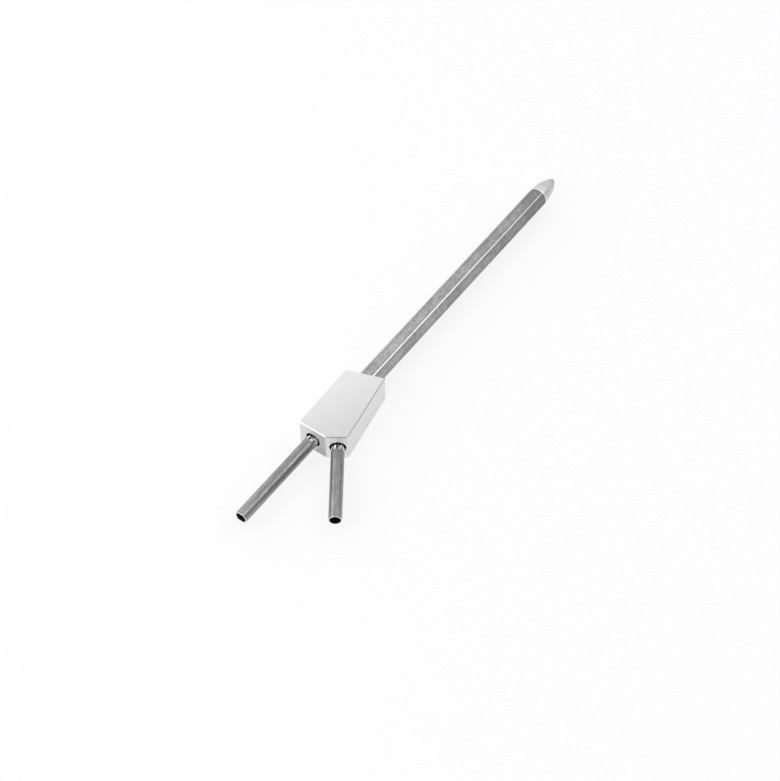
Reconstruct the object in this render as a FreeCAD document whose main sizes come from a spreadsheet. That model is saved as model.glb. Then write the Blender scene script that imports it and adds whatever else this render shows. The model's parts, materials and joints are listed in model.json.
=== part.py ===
"""Straight pitot-static probe with a hexagonal boom, built as a parametric FreeCAD document.

Air pressure enters at two places in the turned nose. The total pressure comes in at the apex and runs
back through the slim pressure line to the outlet tube that is in line with the boom. The static pressure
comes in at the small ports round the nose, runs back through the boom round the outside of that line,
and leaves the block through the side outlet tube.

Millimetres. +X runs along the boom to the nose, +Z is up, and the origin lies on the boom's axis where it
leaves the block.
"""

import FreeCAD
import Part
import Sketcher
import os

# name, value, meaning
SIZES = [
    ("block_height", 25.0, "thickness of the block, centred on the boom's axis"),
    ("block_length", 63.8, "front face to far face, along the boom's axis"),
    ("front_width", 24.0, "width of the front face, which takes the in-line outlet tube"),
    ("side_face_width", 16.0, "width of the turned face, which takes the side outlet tube"),
    ("side_angle", 35.0, "angle between the two outlet tubes, degrees"),
    ("side_shift", 0.6, "how far the side outlet tube sits past the middle of the turned face"),
    ("left_flare", 1.2, "angle at which the left side opens away from the axis, degrees"),
    ("right_slant", 9.5, "angle at which the right side closes towards the axis, degrees"),
    ("far_slant", 20.5, "angle of the far face from square, degrees"),
    ("edge_bevel", 0.6, "bevel along the block's outer edges, on each face"),
    ("recess_depth", 4.0, "depth of the open recess round each outlet tube"),
    ("recess_gap", 1.2, "radial gap between an outlet tube and its recess"),
    ("mouth_break", 0.25, "edge break at the mouth of each recess"),
    ("tube_seat", 10.0, "depth of the close-fitting socket behind each recess"),
    ("side_bore", 5.0, "diameter of the drilled passage behind the side outlet tube"),
    ("bulkhead", 6.0, "wall in the block between the total and the static pressure"),
    ("tube_diameter", 10.0, "outside diameter of both outlet tubes"),
    ("tube_wall", 0.8, "wall of both outlet tubes"),
    ("seat_step", 0.3, "how far the seated end of an outlet tube is turned down, on the radius"),
    ("inline_reach", 85.0, "length of the in-line outlet tube outside the block"),
    ("side_reach", 64.2, "length of the side outlet tube outside the block"),
    ("line_diameter", 5.0, "outside diameter of the pressure line"),
    ("line_wall", 1.0, "wall of the pressure line"),
    ("line_seat", 4.0, "depth of the pressure line's seat in the nose"),
    ("tube_break", 0.2, "edge break at the ends of every tube"),
    ("bar_flats", 15.0, "size of the boom across its flats"),
    ("bar_bore", 9.0, "bore of the boom, and of the static chamber in the block"),
    ("bar_reach", 231.0, "length of the boom outside the block, on its axis"),
    ("bar_socket", 20.0, "depth of the boom's socket in the block, on its axis"),
    ("bar_round", 1.0, "rounding of the boom's six long corners"),
    ("bar_turning", 60.0, "angle at which the corners are turned off at the front end, degrees"),
    ("nose_diameter", 14.8, "diameter of the nose at its shoulder"),
    ("nose_length", 21.3, "shoulder to apex"),
    ("nose_land", 2.5, "length of the nose's straight part, from the shoulder to where it starts to curve in"),
    ("rim_width", 0.6, "flat rim round the total pressure port"),
    ("rim_round", 0.5, "rounding of that rim's outer edge"),
    ("spigot_length", 12.0, "length of the nose's spigot in the boom"),
    ("spigot_wall", 1.0, "wall of that spigot"),
    ("total_port", 2.0, "diameter of the port at the apex"),
    ("static_port", 1.0, "diameter of each static port"),
    ("static_ports", 4, "number of static ports, spread evenly round the nose"),
    ("static_turn", 45.0, "angle from the underside to the first static port, degrees"),
    ("static_setback", 4.5, "shoulder to the centres of the static ports"),
    ("gallery_margin", 0.8, "length of the nose's gallery in front of the static ports"),
    ("fit_gap", 0.05, "radial gap at every soldered or bonded fit"),
    ("overrun", 2.0, "how far a cutting profile runs past the face it opens"),
]

# Sizes and places that follow from the ones above, as expressions. Those of the block are measured from
# the centre of its front face.
SEAT_RADIUS = "(sizes.tube_diameter / 2 - sizes.seat_step)"
SOCKET_RADIUS = "(%s + sizes.fit_gap)" % SEAT_RADIUS
SOCKET_DEPTH = "(sizes.recess_depth + sizes.tube_seat)"
RECESS_RADIUS = "(sizes.tube_diameter / 2 + sizes.recess_gap)"
LINE_HOLE_RADIUS = "(sizes.line_diameter / 2 + sizes.fit_gap)"
CHAMBER_START = "(%s + sizes.bulkhead)" % SOCKET_DEPTH
SIDE_FACE_DEPTH = "(sizes.side_face_width * sin(sizes.side_angle))"
SIDE_FACE_SPAN = "(sizes.side_face_width * cos(sizes.side_angle))"
SIDE_ENTRY_X = "(%s / 2 + sizes.side_shift * sin(sizes.side_angle))" % SIDE_FACE_DEPTH
SIDE_ENTRY_Y = "(-(sizes.front_width + %s) / 2 - sizes.side_shift * cos(sizes.side_angle))" % SIDE_FACE_SPAN
SIDE_RUN = "(-%s / sin(sizes.side_angle))" % SIDE_ENTRY_Y
CORNER_RADIUS = "(sizes.bar_flats / 2 / cos(30))"
NOSE_RADIUS = "(sizes.nose_diameter / 2)"
SPIGOT_RADIUS = "(sizes.bar_bore / 2 - sizes.fit_gap)"
GALLERY_RADIUS = "(%s - sizes.spigot_wall)" % SPIGOT_RADIUS
GALLERY_END = "(sizes.static_setback + sizes.static_port / 2 + sizes.gallery_margin)"
LINE_STOP = "(%s + sizes.line_seat)" % GALLERY_END

doc = FreeCAD.newDocument("pitot_static_probe")


def fill_sheet():
    """Write every driving size to the sheet, one row each, with its name as the alias."""
    sheet = doc.addObject("Spreadsheet::Sheet", "sizes")
    for row, (name, value, meaning) in enumerate(SIZES, start=1):
        sheet.set("A%d" % row, name)
        sheet.set("B%d" % row, str(value))
        sheet.setAlias("B%d" % row, name)
        sheet.set("C%d" % row, meaning)
    doc.recompute()


def new_body(label, x, y="0", turn="0"):
    """A body named label, placed at (x, y) and turned about +Z, each given by an expression."""
    body = doc.addObject("PartDesign::Body", label)
    body.Label = label
    body.setExpression("Placement.Base.x", x)
    body.setExpression("Placement.Base.y", y)
    body.setExpression("Placement.Rotation.Angle", turn)
    return body


def origin_item(body, role):
    """The plane or axis of the body's own origin that has the given role."""
    return next(item for item in body.Origin.OriginFeatures if item.Role == role)


def new_sketch(body, name, role="XY_Plane"):
    """An empty sketch on one of the body's own origin planes."""
    sketch = body.newObject("Sketcher::SketchObject", name)
    sketch.AttachmentSupport = [(origin_item(body, role), "")]
    sketch.MapMode = "FlatFace"
    return sketch


def level_arc(start, end):
    """The arc from start to end that runs level where it reaches end."""
    drop = (end.y**2 - start.y**2 - (start.x - end.x)**2) / (2 * (end.y - start.y))
    centre = FreeCAD.Vector(end.x, drop, 0)
    circle = Part.Circle(centre, FreeCAD.Vector(0, 0, 1), end.y - drop)
    return Part.ArcOfCircle(circle, circle.parameter(start), circle.parameter(end))


def draw_outline(sketch, corners, arc=None):
    """Draw a closed outline through corners, each a pair of expressions that hold it in place.

    Its edges are straight, apart from the one numbered arc, which runs level where it ends.
    """
    points = [FreeCAD.Vector(*(float(sketch.evalExpression(value)) for value in corner)) for corner in corners]
    following = points[1:] + points[:1]
    for edge, (start, end) in enumerate(zip(points, following)):
        line = level_arc(start, end) if edge == arc else Part.LineSegment(start, end)
        sketch.addGeometry(line, False)
    for edge in range(len(corners)):
        sketch.addConstraint(Sketcher.Constraint("Coincident", edge, 2, (edge + 1) % len(corners), 1))
    if arc is not None:
        level = (arc + 1) % len(corners)
        held = sketch.addConstraint(Sketcher.Constraint("DistanceX", -1, 1, arc, 3, points[level].x))
        sketch.setExpression("Constraints[%d]" % held, corners[level][0])
    for edge, corner in enumerate(corners):
        for axis, value in zip("XY", corner):
            start = getattr(points[edge], axis.lower())
            held = sketch.addConstraint(Sketcher.Constraint("Distance" + axis, -1, 1, edge, 1, start))
            sketch.setExpression("Constraints[%d]" % held, value)


def draw_circle(sketch, diameter, x="0"):
    """Draw a circle on the sketch's horizontal axis, its diameter and place given by expressions."""
    centre = FreeCAD.Vector(float(sketch.evalExpression(x)), 0, 0)
    size = float(sketch.evalExpression(diameter))
    edge = sketch.addGeometry(Part.Circle(centre, FreeCAD.Vector(0, 0, 1), size / 2), False)
    sketch.addConstraint(Sketcher.Constraint("PointOnObject", edge, 3, -1))
    placed = sketch.addConstraint(Sketcher.Constraint("DistanceX", -1, 1, edge, 3, centre.x))
    sketch.setExpression("Constraints[%d]" % placed, x)
    sized = sketch.addConstraint(Sketcher.Constraint("Diameter", edge, size))
    sketch.setExpression("Constraints[%d]" % sized, diameter)


def hexagon(flats):
    """The corners of a hexagon centred on the origin, two of its flats level."""
    across = "(%s / cos(30))" % flats
    return [("%s / 2 * cos(%d)" % (across, turn), "%s / 2 * sin(%d)" % (across, turn)) for turn in range(0, 360, 60)]


def revolve(body, kind, name, sketch):
    """Turn a sketch once round its own horizontal axis: a Revolution adds, a Groove cuts."""
    feature = body.newObject("PartDesign::" + kind, name)
    feature.Profile = sketch
    feature.ReferenceAxis = (sketch, ["H_Axis"])
    feature.Angle = 360
    doc.recompute()
    return feature


def dress(body, kind, name, base, size, chosen):
    """Fillet or chamfer the edges of base that the chosen function picks."""
    feature = body.newObject("PartDesign::" + kind, name)
    edges = ["Edge%d" % (index + 1) for index, edge in enumerate(base.Shape.Edges) if chosen(edge)]
    feature.Base = (base, edges)
    feature.setExpression("Radius" if kind == "Fillet" else "Size", size)
    doc.recompute()
    return feature


def bored_profile(first_step, back_radius, end):
    """Half section of a hole with a wide open recess, a tube's seat and a narrower part behind it.

    The steps behind the seat are first_step, then back_radius up to end.
    """
    return [
        ("-sizes.overrun", "0"),
        ("-sizes.overrun", "%s + sizes.mouth_break + sizes.overrun" % RECESS_RADIUS),
        ("sizes.mouth_break", RECESS_RADIUS),
        ("sizes.recess_depth", RECESS_RADIUS),
        ("sizes.recess_depth", SOCKET_RADIUS),
        (SOCKET_DEPTH, SOCKET_RADIUS),
        *first_step,
        (end, back_radius),
        (end, "0"),
    ]


def build_block():
    """The block, cut from thick plate: five upright faces, the boom's socket and two crossing passages."""
    body = new_body("block", "-sizes.block_length")
    plan = new_sketch(body, "block_plan")
    side_tan, far_tan, left_tan = ("tan(sizes.%s)" % name for name in ("right_slant", "far_slant", "left_flare"))
    right_y = "((-sizes.front_width / 2 - %s + (sizes.block_length - %s) * %s) / (1 + %s * %s))" % (
        SIDE_FACE_SPAN, SIDE_FACE_DEPTH, side_tan, side_tan, far_tan)
    left_y = "((sizes.front_width / 2 + sizes.block_length * %s) / (1 + %s * %s))" % (left_tan, left_tan, far_tan)
    draw_outline(plan, [
        ("0", "sizes.front_width / 2"),
        ("0", "-sizes.front_width / 2"),
        (SIDE_FACE_DEPTH, "-sizes.front_width / 2 - %s" % SIDE_FACE_SPAN),
        ("sizes.block_length - %s * %s" % (right_y, far_tan), right_y),
        ("sizes.block_length - %s * %s" % (left_y, far_tan), left_y),
    ])
    plate = body.newObject("PartDesign::Pad", "plate")
    plate.Profile = plan
    plate.SideType = "Symmetric"
    plate.setExpression("Length", "sizes.block_height")
    doc.recompute()
    dress(body, "Chamfer", "outer_edges", plate, "sizes.edge_bevel", lambda edge: True)

    # Front face, in-line tube, bulkhead with the pressure line's hole, static chamber.
    straight = new_sketch(body, "straight_passage_section")
    draw_outline(straight, bored_profile(
        [(SOCKET_DEPTH, LINE_HOLE_RADIUS), (CHAMBER_START, LINE_HOLE_RADIUS), (CHAMBER_START, "sizes.bar_bore / 2")],
        "sizes.bar_bore / 2", "(sizes.block_length - sizes.bar_socket)"))
    revolve(body, "Groove", "straight_passage", straight)

    # Turned face, side tube, drilled passage that meets the static chamber.
    slanting = new_sketch(body, "side_passage_section")
    slanting.setExpression("AttachmentOffset.Base.x", SIDE_ENTRY_X)
    slanting.setExpression("AttachmentOffset.Base.y", SIDE_ENTRY_Y)
    slanting.setExpression("AttachmentOffset.Rotation.Angle", "sizes.side_angle")
    draw_outline(slanting, bored_profile([(SOCKET_DEPTH, "sizes.side_bore / 2")], "sizes.side_bore / 2", SIDE_RUN))
    revolve(body, "Groove", "side_passage", slanting)

    # Socket for the boom, from its floor out through the slanted far face.
    socket_plan = new_sketch(body, "boom_socket_plan", "YZ_Plane")
    socket_plan.setExpression("AttachmentOffset.Base.z", "sizes.block_length - sizes.bar_socket")
    draw_outline(socket_plan, hexagon("(sizes.bar_flats + 2 * sizes.fit_gap)"))
    socket = body.newObject("PartDesign::Pocket", "boom_socket")
    socket.Profile = socket_plan
    socket.Type = "ThroughAll"
    socket.Reversed = True
    return body


def build_boom():
    """The boom: drawn hexagonal bar, bored through, its corners turned off where it meets the nose."""
    body = new_body("boom", "-sizes.bar_socket")
    section = new_sketch(body, "boom_section", "YZ_Plane")
    draw_outline(section, hexagon("sizes.bar_flats"))
    draw_circle(section, "sizes.bar_bore")
    bar = body.newObject("PartDesign::Pad", "bar")
    bar.Profile = section
    bar.setExpression("Length", "sizes.bar_socket + sizes.bar_reach")
    doc.recompute()
    dress(body, "Fillet", "long_corners", bar, "sizes.bar_round", is_long_corner)

    turning = new_sketch(body, "end_turning_section")
    end = "(sizes.bar_socket + sizes.bar_reach)"
    clear = "(%s + sizes.overrun)" % CORNER_RADIUS
    draw_outline(turning, [
        (end, NOSE_RADIUS),
        (end, clear),
        ("%s - (%s - %s) * tan(sizes.bar_turning)" % (end, clear, NOSE_RADIUS), clear),
    ])
    revolve(body, "Groove", "end_turning", turning)
    return body


def is_long_corner(edge):
    """Whether an edge is one of the hexagonal bar's straight corners along X."""
    return isinstance(edge.Curve, Part.Line) and abs(edge.tangentAt(edge.FirstParameter).x) > 0.999


def build_nose():
    """The nose: one turned piece with a spigot, the apex port, the static gallery and its ports."""
    body = new_body("nose", "sizes.bar_reach")
    section = new_sketch(body, "nose_section")
    rim_radius = "(sizes.total_port / 2 + sizes.rim_width)"
    corners = [
        ("-sizes.spigot_length", GALLERY_RADIUS),
        (GALLERY_END, GALLERY_RADIUS),
        (GALLERY_END, LINE_HOLE_RADIUS),
        (LINE_STOP, LINE_HOLE_RADIUS),
        (LINE_STOP, "sizes.total_port / 2"),
        ("sizes.nose_length", "sizes.total_port / 2"),
        ("sizes.nose_length", rim_radius),
        ("sizes.nose_land", NOSE_RADIUS),
        ("0", NOSE_RADIUS),
        ("0", SPIGOT_RADIUS),
        ("-sizes.spigot_length", SPIGOT_RADIUS),
    ]
    draw_outline(section, corners, arc=6)
    turned = revolve(body, "Revolution", "turned_nose", section)
    apex = section.evalExpression("sizes.nose_length")
    port_radius = section.evalExpression("sizes.total_port / 2")
    dress(body, "Fillet", "apex_rim", turned, "sizes.rim_round",
          lambda edge: is_ring_at(edge, [apex]) and edge.Curve.Radius > 1.01 * port_radius)

    port_plan = new_sketch(body, "static_port_plan")
    port_plan.AttachmentOffset = FreeCAD.Placement(
        FreeCAD.Vector(0, 0, 0), FreeCAD.Rotation(FreeCAD.Vector(1, 0, 0), 0.001))
    port_plan.setExpression("AttachmentOffset.Rotation.Angle", "sizes.static_turn")
    draw_circle(port_plan, "sizes.static_port", "sizes.static_setback")
    port = body.newObject("PartDesign::Pocket", "static_port")
    port.Profile = port_plan
    port.Type = "Length"
    port.setExpression("Length", "sizes.nose_diameter")
    doc.recompute()
    ports = body.newObject("PartDesign::PolarPattern", "static_port_ring")
    ports.Originals = [port]
    ports.Axis = (origin_item(body, "X_Axis"), [""])
    ports.Angle = 360
    ports.setExpression("Occurrences", "sizes.static_ports")
    body.Tip = ports
    return body


def is_ring_at(edge, places):
    """Whether an edge is a circle centred on the X axis at one of the given places."""
    return isinstance(edge.Curve, Part.Circle) and min(abs(edge.Curve.Center.x - x) for x in places) < 1e-6


def build_tube(label, corners, length, x, y="0", turn="0"):
    """A tube of the given half section, both ends broken, starting at (x, y) and running along its +X."""
    body = new_body(label, x, y, turn)
    section = new_sketch(body, label + "_section")
    draw_outline(section, corners)
    drawn = revolve(body, "Revolution", label + "_stock", section)
    ends = (0, section.evalExpression(length))
    dress(body, "Chamfer", label + "_ends", drawn, "sizes.tube_break", lambda edge: is_ring_at(edge, ends))
    return body


def outlet_section(length):
    """Half section of an outlet tube, whose seated end is turned down to a shoulder."""
    inside = "sizes.tube_diameter / 2 - sizes.tube_wall"
    outside = "sizes.tube_diameter / 2"
    return [
        ("0", inside),
        (length, inside),
        (length, outside),
        ("sizes.tube_seat", outside),
        ("sizes.tube_seat", SEAT_RADIUS),
        ("0", SEAT_RADIUS),
    ]


def line_section(length):
    """Half section of the pressure line, a plain tube."""
    inside = "sizes.line_diameter / 2 - sizes.line_wall"
    outside = "sizes.line_diameter / 2"
    return [("0", inside), (length, inside), (length, outside), ("0", outside)]


def build_tubes():
    """Both outlet tubes in their sockets, and the pressure line between the bulkhead and the nose."""
    seat_x = "%s - sizes.block_length" % SOCKET_DEPTH
    inline_length = "(%s + sizes.inline_reach)" % SOCKET_DEPTH
    build_tube("inline_outlet_tube", outlet_section(inline_length), inline_length, seat_x, turn="180")

    side_length = "(%s + sizes.side_reach)" % SOCKET_DEPTH
    side_x = "%s + %s * cos(sizes.side_angle) - sizes.block_length" % (SIDE_ENTRY_X, SOCKET_DEPTH)
    side_y = "%s + %s * sin(sizes.side_angle)" % (SIDE_ENTRY_Y, SOCKET_DEPTH)
    side_turn = "180 + sizes.side_angle"
    build_tube("side_outlet_tube", outlet_section(side_length), side_length, side_x, side_y, side_turn)

    line_length = "(sizes.block_length - %s + sizes.bar_reach + %s)" % (SOCKET_DEPTH, LINE_STOP)
    build_tube("pressure_line", line_section(line_length), line_length, seat_x)


def check_document():
    """Stop if a feature failed, a shape is broken, or a cut removed nothing."""
    for item in doc.Objects:
        if "Invalid" in item.State or "Error" in item.State:
            raise RuntimeError("%s failed: %s" % (item.Label, item.State))
        if item.TypeId in ("PartDesign::Pocket", "PartDesign::Groove"):
            if item.Shape.Volume >= item.BaseFeature.Shape.Volume - 1e-3:
                raise RuntimeError("%s cuts nothing" % item.Label)


def export_bodies():
    """Write each body to parts/, named by its label."""
    os.makedirs("parts", exist_ok=True)
    for body in doc.Objects:
        if body.TypeId == "PartDesign::Body":
            if body.Shape.isNull() or not body.Shape.isValid():
                raise RuntimeError("%s has no valid shape" % body.Label)
            body.Shape.exportStep("parts/%s.step" % body.Label)


fill_sheet()
build_block()
build_boom()
build_nose()
build_tubes()
doc.recompute()
check_document()
export_bodies()
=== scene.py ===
"""Looks of a straight pitot-static probe: satin block, hexagonal boom, bright turned nose, outlet tubes.

Everything is in metres in the part's own frame: +X runs along the boom to the nose, +Z is up, and the
origin lies on the boom's axis where it leaves the block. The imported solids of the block, the boom and the
pressure line keep their meshes. The nose and the two outlet tubes are turned pieces, so one Geometry Nodes
tree turns them again, in finer steps.
"""

import json
import logging
import math
from dataclasses import dataclass
from enum import Enum
from typing import NamedTuple

import bmesh
import bpy
from mathutils import Matrix, Vector

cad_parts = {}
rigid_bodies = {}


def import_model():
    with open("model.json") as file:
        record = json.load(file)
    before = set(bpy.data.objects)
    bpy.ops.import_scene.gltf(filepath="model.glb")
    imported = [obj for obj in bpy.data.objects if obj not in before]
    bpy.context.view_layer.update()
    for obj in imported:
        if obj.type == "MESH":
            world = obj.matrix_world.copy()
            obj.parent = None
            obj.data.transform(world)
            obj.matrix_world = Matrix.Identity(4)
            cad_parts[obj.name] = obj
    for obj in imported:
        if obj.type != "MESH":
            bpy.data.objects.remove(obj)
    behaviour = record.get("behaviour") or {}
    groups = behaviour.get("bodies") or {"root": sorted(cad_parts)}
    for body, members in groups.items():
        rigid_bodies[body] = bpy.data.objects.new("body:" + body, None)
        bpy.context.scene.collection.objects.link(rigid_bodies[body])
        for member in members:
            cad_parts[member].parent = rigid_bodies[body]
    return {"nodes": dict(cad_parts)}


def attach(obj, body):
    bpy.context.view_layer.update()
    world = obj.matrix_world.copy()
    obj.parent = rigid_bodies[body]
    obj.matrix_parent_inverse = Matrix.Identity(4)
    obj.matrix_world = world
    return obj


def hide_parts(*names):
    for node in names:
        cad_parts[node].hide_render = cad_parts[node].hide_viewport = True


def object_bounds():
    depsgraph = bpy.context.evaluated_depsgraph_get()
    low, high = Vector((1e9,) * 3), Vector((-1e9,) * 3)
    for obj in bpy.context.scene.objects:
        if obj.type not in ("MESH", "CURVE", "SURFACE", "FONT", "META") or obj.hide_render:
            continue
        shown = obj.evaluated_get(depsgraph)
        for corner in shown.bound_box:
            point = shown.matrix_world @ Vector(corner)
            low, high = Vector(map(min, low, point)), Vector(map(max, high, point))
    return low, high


for leftover in list(bpy.data.objects):
    bpy.data.objects.remove(leftover, do_unlink=True)
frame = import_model()
bpy.context.view_layer.update()
CAD_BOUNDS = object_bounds()

LOG = logging.getLogger("probe")
MM = 0.001
FRONT_ENTRY = (-63.8 * MM, 0.0, 0.0)  # where the straight outlet tube's axis meets the block's front face
SIDE_ENTRY = (-58.867 * MM, -19.045 * MM, 0.0)  # where the angled outlet tube's axis meets its turned face
SIDE_ANGLE = math.radians(35.0)  # between the two tubes' axes
SIDE_REACH = 64.2  # millimetres of the angled outlet tube outside the block
MERGE = 1e-7  # corners nearer than this are one corner


class Node(Enum):
    """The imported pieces, by the names they carry in the frame."""

    BLOCK = "block"
    BOOM = "boom"
    NOSE = "nose"
    PRESSURE_LINE = "pressure_line"
    INLINE_OUTLET = "inline_outlet_tube"
    SIDE_OUTLET = "side_outlet_tube"


class Slot(Enum):
    """The record's material slots, by name."""

    NOSE = "nose_steel"
    TUBE = "tube_steel"


# ---------------------------------------------------------------- nodes


class Ramp(NamedTuple):
    """A straight change from start to end while something else goes from low to high."""

    low: float = 0.0
    high: float = 1.0
    start: float = 0.0
    end: float = 1.0


def linear(hex_colour: str) -> tuple[float, float, float, float]:
    """Turn an sRGB hex colour into the linear one that Blender's sockets take.

    Args:
        hex_colour: six hex digits after a hash sign.

    Returns:
        Red, green, blue and an alpha of 1.
    """
    parts = [int(hex_colour[start:start + 2], 16) / 255 for start in (1, 3, 5)]
    return (*(part / 12.92 if part <= 0.04045 else ((part + 0.055) / 1.055) ** 2.4 for part in parts), 1.0)


def add_node(tree: bpy.types.NodeTree, kind: str, settings: dict[str, object],
             inputs: dict[str | int, object] | tuple[object, ...],
             output: str | int = 0) -> bpy.types.NodeSocket | None:
    """Add a node with its settings and links.

    Args:
        tree: the node tree that gets the node.
        kind: the node's type name.
        settings: attribute names and values.
        inputs: values, or sockets to link from, by the inputs' names or numbers, or in the inputs' order.
        output: the name or number of the output to return.

    Returns:
        The output socket asked for, or nothing for a node without outputs.
    """
    node = tree.nodes.new(kind)
    for name, value in settings.items():
        setattr(node, name, value)
    for key, value in inputs.items() if isinstance(inputs, dict) else enumerate(inputs):
        if isinstance(value, bpy.types.NodeSocket):
            tree.links.new(value, node.inputs[key])
        else:
            node.inputs[key].default_value = value
    return node.outputs[output] if node.outputs else None


# ---------------------------------------------------------------- finishes


@dataclass
class Surface:
    """What a finish works out for its shader: colour, roughness and height."""

    colour: bpy.types.NodeSocket
    roughness: bpy.types.NodeSocket
    height: bpy.types.NodeSocket


@dataclass(frozen=True)
class Metal:
    """A bare metal: its name, its colours, how deep its marks are and how much of its light is mirrored."""

    name: str
    colour: str
    dim_colour: str
    relief_mm: float
    metallic: float = 1.0

    def pattern(self, tree: bpy.types.NodeTree, where: bpy.types.NodeSocket) -> Surface:
        """Work out the surface's pattern.

        Args:
            tree: the material's node tree.
            where: the Object coordinates, in metres.

        Returns:
            Colour, roughness and height.
        """
        raise NotImplementedError

    def build(self) -> bpy.types.Material:
        """Make the material.

        Returns:
            The new material.
        """
        material = bpy.data.materials.new(self.name)
        material.use_nodes = True
        tree = material.node_tree
        tree.nodes.clear()
        where = add_node(tree, "ShaderNodeTexCoord", {}, {}, "Object")
        surface = self.pattern(tree, where)
        normal = add_node(tree, "ShaderNodeBump", {}, {
            "Height": surface.height, "Strength": 1.0, "Distance": self.relief_mm * MM})
        shader = add_node(tree, "ShaderNodeBsdfPrincipled", {}, {
            "Base Color": surface.colour, "Metallic": self.metallic, "Roughness": surface.roughness,
            "Normal": normal})
        add_node(tree, "ShaderNodeOutputMaterial", {}, {"Surface": shader})
        return material


@dataclass(frozen=True)
class BlastedAluminium(Metal):
    """Aluminium plate, machined, then bead-blasted: pale and even, with the soft sheen of fine grit.

    The faces that the outlet tubes leave keep faint rings from their spot-facing. The front one has painted
    shade in blots, heavier towards its lower corner, and the turned one is painted brighter as painted
    light.
    The top and underside have painted shade towards one corner. The edges are rubbed smooth and painted
    darker as painted shade, and the recesses are painted dark inside as painted shade.
    """

    name: str = "blasted_aluminium"
    colour: str = "#f5f5f5"
    dim_colour: str = "#ededed"
    relief_mm: float = 0.02
    metallic: float = 0.7
    grit_mm: float = 0.5  # real grit of 0.1 mm, drawn coarser so that it shows
    grit_rough: Ramp = Ramp(0.3, 0.7, 0.5, 0.6)
    cloud_mm: float = 14.0
    level_slope: float = 0.9  # the top and the underside are where the normal's height is more than this
    wear_side: tuple[float, float, float] = (0.35, 0.94, 0.0)  # away from the corner that painted shade darkens on the top and underside
    wear: Ramp = Ramp(-34.0, 2.0, 0.85, 1.0)  # painted shade: tone of the top and underside, by millimetres that way
    front_colour: str = "#ebebeb"
    # painted light: the turned face is painted brighter than the rest of the block
    turned_colour: str = "#ffffff"
    face_mm: float = 0.05  # how near its plane a point of one of these two faces is
    ring_pitch_mm: float = 0.9  # real feed of about 0.2 mm, drawn coarser so that it shows
    ring_reach_mm: float = 11.0
    ring_share: float = 0.35  # the rings' height at the recess, as a share of the grit's
    # painted shade in blots on the front face, heavier towards its lower corner
    smear_colour: str = "#c8c8c8"
    smear_mm: float = 1.7
    smear_side: tuple[float, float, float] = (0.0, -0.028, -0.018)  # more painted shade this way, by millimetre
    smear: Ramp = Ramp(0.55, 0.85)
    # painted shade: the recesses are painted dark inside
    recess_colour: str = "#2c2c2c"
    recess_mm: float = 6.3
    recess_dark: Ramp = Ramp(0.3, 1.5)  # how the painted shade darkens it, by its depth in millimetres
    socket_mm: float = 14.5  # depth of a recess and the socket behind it
    # painted shade: the bevelled edges are painted darker; their low roughness is the rubbed finish
    edge_colour: str = "#d8d8d8"
    edge_rough: float = 0.22
    edge_slope: float = 0.707  # the height of a bevelled edge's normal
    edge_slack: float = 0.06

    def pattern(self, tree: bpy.types.NodeTree, where: bpy.types.NodeSocket) -> Surface:
        """Work out the grit, the wear, the two tubes' faces, the recesses and the edges.

        Args:
            tree: the material's node tree.
            where: the Object coordinates, in metres.

        Returns:
            Colour, roughness and height.
        """
        grit = add_node(tree, "ShaderNodeTexNoise", {}, {
            "Vector": where, "Scale": 1 / (self.grit_mm * MM), "Detail": 2.0})
        cloud = add_node(tree, "ShaderNodeTexNoise", {}, {
            "Vector": where, "Scale": 1 / (self.cloud_mm * MM), "Detail": 3.0})
        colour = add_node(tree, "ShaderNodeMix", {"data_type": "RGBA"}, {
            "Factor": cloud, "A": linear(self.dim_colour), "B": linear(self.colour)}, 2)
        # painted shade: the top and underside darken towards one corner
        fresh = add_node(tree, "ShaderNodeVectorMath", {"operation": "DOT_PRODUCT"}, (
            where, tuple(part / MM for part in self.wear_side)), "Value")
        tone = add_node(tree, "ShaderNodeMapRange", {}, (fresh, *self.wear))
        normal = add_node(tree, "ShaderNodeNewGeometry", {}, {}, "Normal")
        slope = add_node(tree, "ShaderNodeMath", {"operation": "ABSOLUTE"}, (
            add_node(tree, "ShaderNodeSeparateXYZ", {}, (normal,), "Z"),))
        level = add_node(tree, "ShaderNodeMath", {"operation": "GREATER_THAN"}, (slope, self.level_slope))
        tone = add_node(tree, "ShaderNodeMix", {}, {"Factor": level, "A": 1.0, "B": tone})
        colour = add_node(tree, "ShaderNodeVectorMath", {"operation": "SCALE"}, {0: colour, "Scale": tone})
        height = grit
        dark = None
        # each tube's face gets its own colour: painted shade on the front face, painted light on the turned
        # face
        for entry, turn, face_colour in ((FRONT_ENTRY, 0.0, self.smeared(tree, where)),
                                         (SIDE_ENTRY, SIDE_ANGLE, linear(self.turned_colour))):
            ring, inside, faced = self.face_marks(tree, where, entry, turn)
            colour = add_node(tree, "ShaderNodeMix", {"data_type": "RGBA"}, {
                "Factor": faced, "A": colour, "B": face_colour}, 2)
            height = add_node(tree, "ShaderNodeMath", {"operation": "ADD"}, (height, ring))
            dark = inside if dark is None else add_node(
                tree, "ShaderNodeMath", {"operation": "MAXIMUM"}, (dark, inside))
        # painted shade inside the recesses
        colour = add_node(tree, "ShaderNodeMix", {"data_type": "RGBA"}, {
            "Factor": dark, "A": colour, "B": linear(self.recess_colour)}, 2)
        edge = add_node(tree, "ShaderNodeMath", {"operation": "COMPARE"}, (
            slope, self.edge_slope, self.edge_slack))
        rough = add_node(tree, "ShaderNodeMapRange", {}, (grit, *self.grit_rough))
        rough = add_node(tree, "ShaderNodeMix", {}, {"Factor": edge, "A": rough, "B": self.edge_rough})
        # painted shade along the bevelled edges
        colour = add_node(tree, "ShaderNodeMix", {"data_type": "RGBA"}, {
            "Factor": edge, "A": colour, "B": linear(self.edge_colour)}, 2)
        return Surface(colour, rough, height)

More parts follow.
